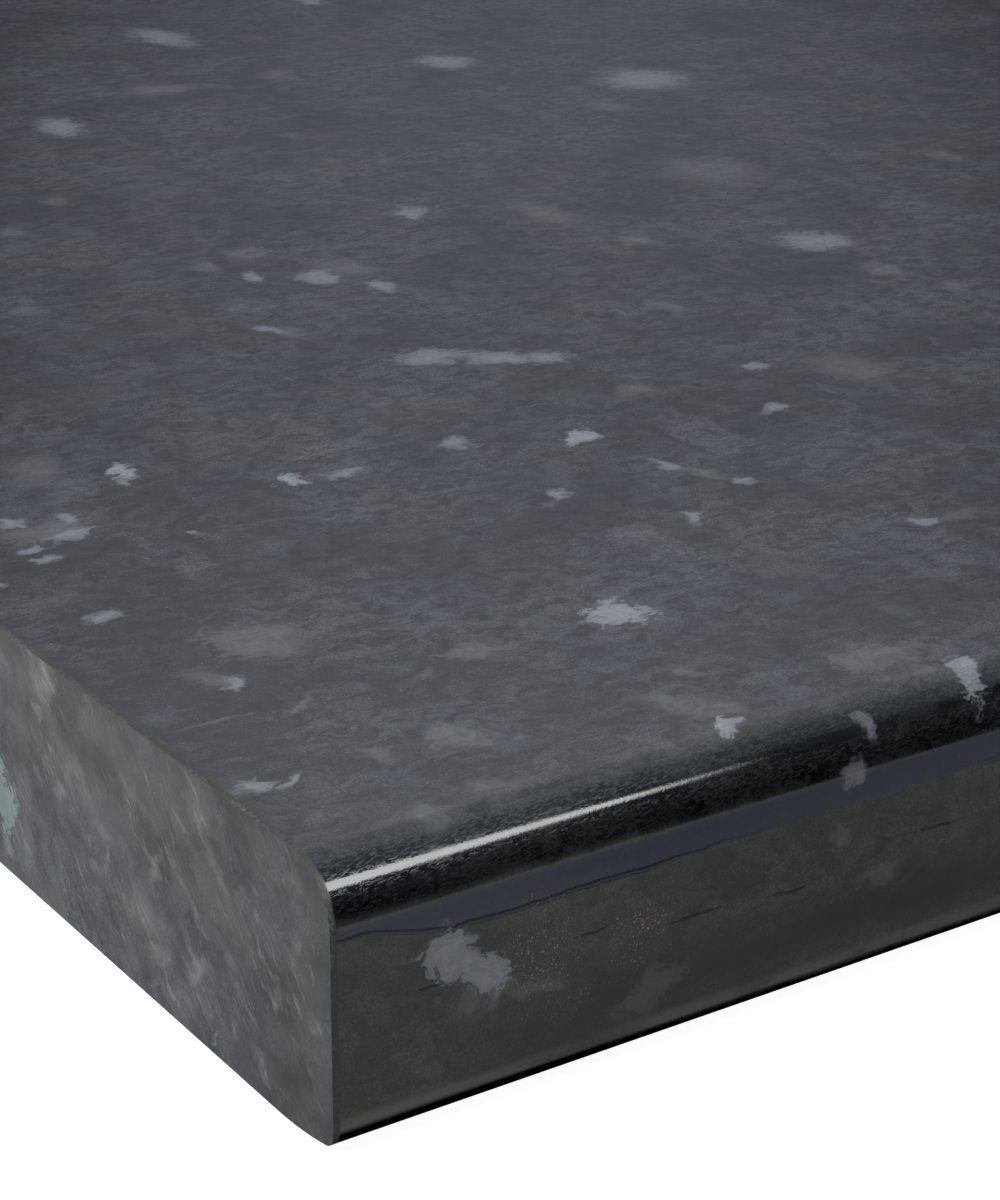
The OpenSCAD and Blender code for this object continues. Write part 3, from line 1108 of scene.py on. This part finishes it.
def swept(name: str, rings: Points, faces_in: list[list[int]], uv: Points | None = None,
          materials: NDArray[np.int64] | None = None) -> bpy.types.Object:
    """Join closed rings of points into a tube with caps.

    Quad (i, j) joins points j and j+1 of ring i to the same points of ring i+1. The signed
    volume is that of the tetrahedra from the shell's middle to each quad's two halves, and the
    shell is turned outwards if that is negative.

    Args:
        name: The object's name.
        rings: Places, ring by ring, of shape (rings, points, 3).
        faces_in: Each end cap as faces on the points of one ring.
        uv: Map places, of shape (rings, points, 2).
        materials: Material number of each step round a ring.

    Returns:
        The object, at the origin.
    """
    count, around = rings.shape[:2]
    index = np.arange(count * around).reshape(count, around)
    ahead = np.roll(index, -1, axis=1)
    quads = np.stack((index[:-1], ahead[:-1], ahead[1:], index[1:]), axis=-1).reshape(-1, 4)
    last = (count - 1) * around
    caps = [face[::-1] for face in faces_in] + [[i + last for i in face] for face in faces_in]
    vertices = rings.reshape(-1, 3)
    faces = quads.tolist() + caps
    from_middle = vertices - vertices.mean(axis=0)
    first, second, third, fourth = (from_middle[quads[:, k]] for k in range(4))
    volume = np.einsum("ij,ij->", first, np.cross(second, third) + np.cross(third, fourth))
    if volume < 0.0:
        faces = [face[::-1] for face in faces]
    mesh = bpy.data.meshes.new(name)
    mesh.from_pydata(vertices.tolist(), [], faces)
    mesh.polygons.foreach_set("use_smooth", np.ones(len(faces), dtype=bool))
    if materials is not None:
        numbers = np.concatenate((np.tile(materials, count - 1),
                                  np.full(len(caps), materials.max())))
        mesh.polygons.foreach_set("material_index", numbers.astype(np.int32))
    if uv is not None:
        corners = np.empty(len(mesh.loops), dtype=np.int32)
        mesh.loops.foreach_get("vertex_index", corners)
        layer = mesh.uv_layers.new(name=DecorSheet.MAP)
        layer.data.foreach_set("uv", uv.reshape(-1, 2)[corners].ravel())
    mesh.update()
    mesh.set_sharp_from_angle(angle=SHARP_ANGLE)
    made = bpy.data.objects.new(name, mesh)
    bpy.context.scene.collection.objects.link(made)
    return made


def along_x(section: Points, stations: Points) -> Points:
    """Repeat a (y, z) section at each X station, as rings of shape (stations, points, 3)."""
    count, points = stations.size, len(section)
    rings = np.empty((count, points, 3))
    rings[..., 0] = stations[:, None]
    rings[..., 1:] = section[None]
    return rings


def settle(piece: bpy.types.Object, node: str, slot: str,
           *materials: bpy.types.Material) -> bpy.types.Object:
    """Dress a piece, ride it on the slab, and hide the node that it replaces.

    Args:
        piece: The new piece.
        node: The node that it replaces.
        slot: Not used.
        materials: The piece's materials in order.

    Returns:
        The piece.
    """
    for material in materials:
        piece.data.materials.append(material)
    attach(piece, BODY)
    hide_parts(node)
    return piece


@dataclass(frozen=True)
class DecorSheet:
    """The decor laminate: one sheet from the wall edge over the nose to the end of its lip."""

    MAP = "sheet"
    # Each wave's height, its length in millimetres a radian, its slant and its start.
    WAVES = ((1.0, 13.0, 0.11, 0.0), (0.7, 31.0, -0.23, 1.3), (0.45, 7.1, 0.31, 0.6))

    section: SlabSection
    left: float
    right: float
    rear: float
    thickness: float
    lip_end: float
    station_step: float = 3.2 * MM
    bow: float = 0.030 * MM

    def path(self, inset: float) -> Points:
        """Follow the sheet at one depth, from the wall edge to the lip's end."""
        nose = self.section.nose(inset)
        reach = nose[0, 0] + np.array((240.0, 60.0, 12.0, 3.0, 0.6)) * MM
        top = np.column_stack((np.append(self.rear, reach), np.full(reach.size + 1, nose[0, 1])))
        foot_y = np.array((nose[-1, 0] + 0.6 * MM, self.lip_end))
        foot = np.column_stack((foot_y, np.full(2, nose[-1, 1])))
        return np.concatenate((top, nose, foot))

    def developed(self, path: Points) -> Points:
        """Distance along the sheet at each point, from the start of the roll up to the wall."""
        lengths = np.hypot(*np.diff(path, axis=0).T)
        run = np.concatenate(((0.0,), np.cumsum(lengths)))
        start = np.argmin(np.abs(path[:, 0] - self.section.roll_centre[0]) + (
            path[:, 1] < self.section.thickness / 2))
        return run[start] - run

    def ripple(self, along: Points, across: Points) -> Points:
        """How far the face stands in: slow waves down the front, none on the flat.

        The height is the bow times a sum of three raised sine waves of different lengths and
        slants, faded in down the front and out again before the toe, plus a smooth dip just
        under the roll.

        Args:
            along: Distance from the left end, in metres.
            across: Distance along the sheet, in metres.

        Returns:
            The offset along the face's normal, in metres.
        """
        x, s = along / MM, across / MM
        waves = sum(height * (1.0 + np.sin(x / length + slant * s + start))
                    for height, length, slant, start in self.WAVES)
        fade = np.clip((-s - 6.0) / 8.0, 0.0, 1.0) * np.clip((s + 40.0) / 5.0, 0.0, 1.0)
        swell = np.exp(-((s + 14.5) / 2.2) ** 2)
        return self.bow * (waves * fade + 0.8 * swell)

    def build(self, face: bpy.types.Material, back: bpy.types.Material) -> bpy.types.Object:
        """Build and dress the sheet.

        Args:
            face: The printed face.
            back: The paper of its back and cut edges.

        Returns:
            The sheet.
        """
        outer, inner = self.path(0.0), self.path(self.thickness)
        across = self.developed(outer)
        slope = np.gradient(outer, axis=0)
        normal = np.column_stack((slope[:, 1], -slope[:, 0]))
        normal /= np.linalg.norm(normal, axis=1, keepdims=True)
        stations = np.linspace(self.left, self.right,
                               round((self.right - self.left) / self.station_step) + 1)
        rings = along_x(np.concatenate((outer, inner[::-1])), stations)
        from_end = stations - self.section_left()
        lift = self.ripple(from_end[:, None], across[None])
        count = len(outer)
        rings[:, :count, 1:] -= lift[..., None] * normal[None]
        laid = np.concatenate((across, across[::-1]))
        uv = np.stack(np.broadcast_arrays(from_end[:, None], laid[None]), axis=-1)
        numbers = np.where(np.arange(2 * count) < count - 1, 0, 1)
        ends = [[i, i + 1, 2 * count - 2 - i, 2 * count - 1 - i] for i in range(count - 1)]
        sheet = swept("decor_sheet", rings, ends, uv, numbers)
        return settle(sheet, "decor_laminate", "decor_laminate", face, back)

    @staticmethod
    def section_left() -> float:
        """Where the slab's left end is, which the pattern is measured from."""
        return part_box("left_end_strip")[0][0]


@dataclass(frozen=True)
class EndLayer:
    """A layer on a sawn end, cut to the outline of the section: a strip or its hot melt."""

    section: SlabSection
    end: End
    inner: float
    outer: float
    arris: float = 0.0

    def build(self, name: str, node: str, slot: str,
              *materials: bpy.types.Material) -> bpy.types.Object:
        """Build the layer, with its outer edge broken by an arris.

        Args:
            name: The piece's name.
            node: The node that it replaces.
            slot: The record's material slot.
            materials: The face, and the filed edge if there is one.

        Returns:
            The layer.
        """
        full = self.section.outline(0.0, self.section.rear)
        cut = self.section.outline(self.arris, self.section.rear - self.arris)
        outwards = self.end.value * self.arris
        profiles = [(self.inner, full), (self.outer - outwards, full)]
        if self.arris:
            profiles.append((self.outer, cut))
        rings = np.stack([np.column_stack((np.full(len(p), x), p)) for x, p in profiles])
        layer = swept(name, rings, [list(range(len(full)))])
        if len(materials) > 1:
            sides = np.ones(len(layer.data.polygons), dtype=np.int32)
            sides[-1] = 0
            layer.data.polygons.foreach_set("material_index", sides)
        return settle(layer, node, slot, *materials)


@dataclass(frozen=True)
class Core:
    """The chipboard, rebated along its foot for the lip."""

    section: SlabSection
    left: float
    right: float
    rear: float
    inset: float
    foot_step: float
    foot_inset: float

    def build(self, material: bpy.types.Material) -> bpy.types.Object:
        """Build and dress the core."""
        nose = self.section.nose(self.inset)
        top = np.array(((self.rear, self.foot_inset), (self.rear, nose[0, 1])))
        foot = np.array(((self.foot_step, self.inset), (self.foot_step, self.foot_inset)))
        outline = np.concatenate((top, nose, foot))
        rings = along_x(outline, np.linspace(self.left, self.right, 2))
        core = swept("board", rings, [list(range(len(outline)))])
        return settle(core, "chipboard_core", "chipboard", material)


@dataclass(frozen=True)
class GlueFilm:
    """The glue between the sheet and the board."""

    sheet: DecorSheet
    outer: float
    inner: float

    def build(self, material: bpy.types.Material) -> bpy.types.Object:
        """Build and dress the film, on the sheet's own path."""
        outer, inner = self.sheet.path(self.outer), self.sheet.path(self.inner)
        count = len(outer)
        rings = along_x(np.concatenate((outer, inner[::-1])),
                        np.linspace(self.sheet.left, self.sheet.right, 2))
        ends = [[i, i + 1, 2 * count - 2 - i, 2 * count - 1 - i] for i in range(count - 1)]
        film = swept("sheet_glue", rings, ends)
        return settle(film, "laminate_glue_film", "sheet_glue", material)


@dataclass(frozen=True)
class SealBead:
    """The bead along the joint of lip and backing, pressed flat and slightly hollow."""

    low: Vector
    high: Vector
    hollow: float = 0.18 * MM
    steps: int = 12

    def build(self, material: bpy.types.Material) -> bpy.types.Object:
        """Build the bead: its underside is a parabola that wanders along its length."""
        across = np.linspace(-1.0, 1.0, self.steps + 1)
        stations = np.linspace(self.low[0], self.high[0], 480)
        sway = 1.0 + 0.35 * np.sin(stations / (11.0 * MM)) * np.sin(stations / (47.0 * MM))
        depth = self.hollow * (1.0 - across[None] ** 2) * sway[:, None]
        mid, half = (self.low[1] + self.high[1]) / 2, (self.high[1] - self.low[1]) / 2
        under = np.empty((stations.size, across.size, 3))
        under[..., 0] = stations[:, None]
        under[..., 1] = mid + half * across[None]
        under[..., 2] = self.low[2] + depth
        over = under[:, ::-1].copy()
        over[..., 2] = self.high[2]
        count = across.size
        ends = [[i, i + 1, 2 * count - 2 - i, 2 * count - 1 - i] for i in range(count - 1)]
        bead = swept("joint_bead", np.concatenate((under, over), axis=1), ends)
        return settle(bead, "lip_seal_bead", "sealing_bead", material)


@dataclass(frozen=True)
class WallEdge:
    """The lacquered wall edge: a thin skin whose outer face keeps the saw's torn chips."""

    low: Vector
    high: Vector
    pitch: float = 2.4 * MM
    rows: int = 26
    depth: float = 0.16 * MM

    def build(self, material: bpy.types.Material) -> bpy.types.Object:
        """Build the edge.

        A pit's depth is a random number to the fourth power, evened out along X and faded to
        nothing at the top and bottom lines by a half sine wave.
        """
        columns = round((self.high[0] - self.low[0]) / self.pitch) + 1
        stations = np.linspace(self.low[0], self.high[0], columns)
        heights = np.linspace(self.low[2], self.high[2], self.rows)
        share = (heights - self.low[2]) / (self.high[2] - self.low[2])
        rng = np.random.default_rng(7)
        torn = rng.random((columns, self.rows)) ** 4
        torn[1:-1] = (torn[:-2] + 2.0 * torn[1:-1] + torn[2:]) / 4.0
        middle = np.sin(np.pi * share) ** 1.5
        outer = np.empty((columns, self.rows, 3))
        outer[..., 0] = stations[:, None]
        outer[..., 1] = self.high[1] - self.depth * torn * middle[None]
        outer[..., 2] = heights[None]
        inner = outer[:, ::-1].copy()
        inner[..., 1] = self.low[1]
        ends = [[i, i + 1, 2 * self.rows - 2 - i, 2 * self.rows - 1 - i]
                for i in range(self.rows - 1)]
        edge = swept("wall_edge", np.concatenate((outer, inner), axis=1), ends)
        return settle(edge, "rear_edge_seal", "edge_lacquer", material)


# --------------------------------------------------------------------------- studio


@dataclass(frozen=True)
class Glow:
    """A soft patch of light in the surroundings, by compass and height, in degrees."""

    compass: float
    height: float
    full: float
    fades: float
    colour: tuple[float, float, float]
    strength: float

    def direction(self) -> tuple[float, float, float]:
        """Unit vector to the patch. Compass 0 is +Y and 90 is +X."""
        turn, rise = math.radians(self.compass), math.radians(self.height)
        return (math.sin(turn) * math.cos(rise), math.cos(turn) * math.cos(rise), math.sin(rise))


@dataclass(frozen=True)
class Lamp:
    """An area lamp, placed and aimed in metres from the slab's near bottom corner."""

    name: str
    place: tuple[float, float, float]
    target: tuple[float, float, float]
    size: tuple[float, float]
    power: float
    shape: str = "RECTANGLE"
    in_gloss: bool = True
    in_diffuse: bool = True

    def build(self, corner: Vector) -> bpy.types.Object:
        """Hang the lamp, its length along X.

        Args:
            corner: The slab's left, front, bottom corner.

        Returns:
            The lamp.
        """
        data = bpy.data.lights.new(self.name, "AREA")
        data.shape = self.shape
        data.size, data.size_y = self.size
        data.energy = self.power
        lamp = bpy.data.objects.new(self.name, data)
        bpy.context.scene.collection.objects.link(lamp)
        facing = (Vector(self.target) - Vector(self.place)).normalized()
        side = Vector((1.0, 0.0, 0.0))
        side = (side - facing * side.dot(facing)).normalized()
        turned = Matrix((side, side.cross(facing), -facing)).transposed().to_4x4()
        lamp.matrix_world = Matrix.Translation(corner + Vector(self.place)) @ turned
        lamp.visible_glossy = self.in_gloss
        lamp.visible_diffuse = self.in_diffuse
        return lamp


@dataclass(frozen=True)
class Studio:
    """Plain pale floor, soft surroundings and three lamps.

    The surroundings are white to the camera. To the slab they are patches of light and, in a
    band under the horizon, the light of the floor. The band fades out over its far and near
    limits, which are sines of the angle above the horizon.
    """

    glows: tuple[Glow, ...] = (
        Glow(33.0, 50.0, 8.0, 34.5, (0.97, 1.00, 1.05), 0.68),
        Glow(34.0, 23.0, 6.0, 20.0, (0.90, 0.96, 1.17), 0.26),
        Glow(95.0, 60.0, 8.0, 27.0, (0.75, 1.00, 1.15), 0.44),
        Glow(150.0, 38.0, 8.0, 30.0, (0.80, 1.00, 1.15), 0.08),
        Glow(170.0, -27.0, 8.0, 30.0, (1.00, 1.00, 0.98), 0.50),
        Glow(-22.0, -12.0, 8.0, 44.0, (0.95, 1.00, 1.07), 0.94),
        Glow(-60.0, 35.0, 30.0, 70.0, (1.0, 1.0, 1.0), 0.40),
    )
    lamps: tuple[Lamp, ...] = (
        Lamp("soft_box", (-1.1, 0.1, 1.7), (0.3, 0.2, 0.0), (1.6, 1.2), 26.0),
        Lamp("line_light", (0.0, -0.92, 1.24), (0.02, 0.0, 0.0), (2.16, 0.60), 37.0, "ELLIPSE",
             in_diffuse=False),
        Lamp("front_fill", (0.2, -1.6, 0.5), (0.0, 0.0, 0.0), (1.4, 1.0), 4.0, in_gloss=False),
    )
    floor_tint: tuple[float, float, float] = (1.0, 1.0, 0.975)
    floor_glow: float = 0.57
    floor_far: tuple[float, float] = (-0.36, -0.30)
    floor_near: tuple[float, float] = (-0.67, -0.34)
    floor_size: float = 30.0
    floor_grey: float = 0.5
    floor_shine: float = 0.94

    def surroundings(self) -> None:
        """Build the world: white to the camera, and patches of light to the slab."""
        world = bpy.data.worlds.new("studio")
        world.use_nodes = True
        bpy.context.scene.world = world
        bench = NodeBench(world.node_tree)
        bench.tree.nodes.clear()
        heading = bench.vector("NORMALIZE", bench.node("TexCoord").outputs["Generated"])[0]
        height = bench.parts(heading)[2]
        floor = bench.product(bench.step(height, *self.floor_far, 1.0, 0.0),
                              bench.step(height, *self.floor_near), self.floor_glow)
        light = bench.scaled(self.floor_tint, floor)
        for glow in self.glows:
            cosine = bench.vector("DOT_PRODUCT", heading, glow.direction())["Value"]
            share = bench.step(cosine, math.cos(math.radians(glow.fades)),
                               math.cos(math.radians(glow.full)), 0.0, glow.strength)
            light = bench.moved(light, bench.scaled(glow.colour, share))
        seen = bench.node("LightPath").outputs["Is Camera Ray"]
        ground = bench.node("Background")
        bench.feed(ground.inputs["Color"], bench.blend(seen, light, (1.0, 1.0, 1.0, 1.0)))
        bench.feed(bench.node("OutputWorld").inputs["Surface"], ground.outputs[0])

    def floor(self) -> None:
        """Build the floor, which the slab doesn't mirror or shade."""
        half = self.floor_size / 2
        mesh = bpy.data.meshes.new("floor")
        mesh.from_pydata([(-half, -half, 0.0), (half, -half, 0.0), (half, half, 0.0),
                          (-half, half, 0.0)], [], [(0, 1, 2, 3)])
        material = bpy.data.materials.new("pale_floor")
        material.use_nodes = True
        shader = material.node_tree.nodes["Principled BSDF"]
        shader.inputs["Base Color"].default_value = (*(self.floor_grey,) * 3, 1.0)
        shader.inputs["Roughness"].default_value = 1.0
        shader.inputs["Specular IOR Level"].default_value = 0.0
        shader.inputs["Emission Color"].default_value = (1.0, 1.0, 1.0, 1.0)
        shader.inputs["Emission Strength"].default_value = self.floor_shine
        mesh.materials.append(material)
        floor = bpy.data.objects.new("floor", mesh)
        bpy.context.scene.collection.objects.link(floor)
        floor.visible_glossy = False
        floor.visible_diffuse = False
        floor.visible_shadow = False

    def build(self, corner: Vector) -> None:
        """Build the whole studio round the slab's near corner."""
        self.surroundings()
        self.floor()
        for lamp in self.lamps:
            lamp.build(corner)


@dataclass(frozen=True)
class Viewpoint:
    """The camera: where it stands from the slab's near bottom corner, and how it looks.

    Heading, down and roll are in degrees, and lens and film in millimetres.
    """

    offset: tuple[float, float, float] = (-151.8 * MM, -260.3 * MM, 192.7 * MM)
    heading: float = 33.934
    down: float = 21.875
    roll: float = 0.331
    lens: float = 88.53
    film: float = 36.0

    def build(self, corner: Vector) -> bpy.types.Object:
        """Make the camera and set it as the scene's.

        Args:
            corner: The slab's left, front, bottom corner.

        Returns:
            The camera.
        """
        turn, dip, tip = (math.radians(a) for a in (self.heading, self.down, self.roll))
        ahead = Vector((math.sin(turn) * math.cos(dip), math.cos(turn) * math.cos(dip),
                        -math.sin(dip)))
        level = Vector((math.cos(turn), -math.sin(turn), 0.0))
        upright = level.cross(ahead)
        right = level * math.cos(tip) + upright * math.sin(tip)
        up = upright * math.cos(tip) - level * math.sin(tip)
        data = bpy.data.cameras.new("camera")
        data.lens, data.sensor_width = self.lens, self.film
        data.clip_start, data.clip_end = 0.01, 60.0
        camera = bpy.data.objects.new("camera", data)
        bpy.context.scene.collection.objects.link(camera)
        turned = Matrix((right, up, -ahead)).transposed().to_4x4()
        camera.matrix_world = Matrix.Translation(corner + Vector(self.offset)) @ turned
        bpy.context.scene.camera = camera
        return camera


# --------------------------------------------------------------------------- assembly


def dress_node(node: str, material: bpy.types.Material) -> None:
    """Give a node that keeps its own mesh a better material."""
    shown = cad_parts[node]
    shown.data.materials.clear()
    shown.data.materials.append(material)


def main() -> None:
    """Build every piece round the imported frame, then the studio and the camera."""
    logging.basicConfig(level=logging.INFO, format="%(message)s")
    effects = Effects.build()
    strip_box = {end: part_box(f"{end.name.lower()}_end_strip") for end in End}
    melt_box = {end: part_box(f"{end.name.lower()}_end_hot_melt") for end in End}
    sheet_box, glue_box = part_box("decor_laminate"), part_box("laminate_glue_film")
    core_box, seal_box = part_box("chipboard_core"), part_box("rear_edge_seal")
    bead_box, backing_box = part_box("lip_seal_bead"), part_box("backing_sheet")
    left, right = sheet_box[0][0], sheet_box[1][0]
    section = SlabSection(cad_box[0][1], cad_box[1][1], cad_box[1][2])
    skin = sheet_box[1][2] - glue_box[1][2]
    glue = glue_box[1][2] - core_box[1][2]

    sheet = DecorSheet(section, left, right, sheet_box[1][1], skin, bead_box[0][1])
    pieces = [sheet.build(DecorFinish(effects).build(), LAMINATE_BACK.build())]
    glue_material = GLUE.build()
    pieces.append(GlueFilm(sheet, skin, skin + glue).build(glue_material))
    board = ChipboardFinish(effects, "raw_chipboard", section.thickness)
    core = Core(section, left, right, core_box[1][1], skin + glue, backing_box[0][1],
                core_box[0][2])
    pieces.append(core.build(board.build()))
    lacquer = ChipboardFinish(effects, "lacquered_chipboard_edge", section.thickness,
                              lacquered=True)
    pieces.append(WallEdge(*seal_box).build(lacquer.build()))
    pieces.append(SealBead(*bead_box).build(SEALANT.build()))

    arris, melt = ArrisFinish().build(), HOT_MELT.build()
    for end in End:
        side = end.name.lower()
        inner, outer = (0, 1) if end is End.RIGHT else (1, 0)
        strip = EndLayer(section, end, strip_box[end][inner][0], strip_box[end][outer][0],
                         STRIP_ARRIS)
        pieces.append(strip.build(f"{side}_strip", f"{side}_end_strip", "end_strip_laminate",
                                  StripFinish(effects).build(end), arris))
        film = EndLayer(section, end, melt_box[end][inner][0], melt_box[end][outer][0])
        pieces.append(film.build(f"{side}_melt", f"{side}_end_hot_melt", "hot_melt", melt))

    dress_node("backing_sheet", BACKING_PAPER.build())
    dress_node("backing_glue_film", glue_material)
    for piece in pieces:
        LOG.info("%s: %d vertices, %d faces", piece.name, len(piece.data.vertices),
                 len(piece.data.polygons))

    corner = Vector((cad_box[0][0], cad_box[0][1], cad_box[0][2]))
    Studio().build(corner)
    Viewpoint().build(corner)
    bpy.context.scene.view_settings.view_transform = "Standard"


if __name__ == "__main__":
    main()
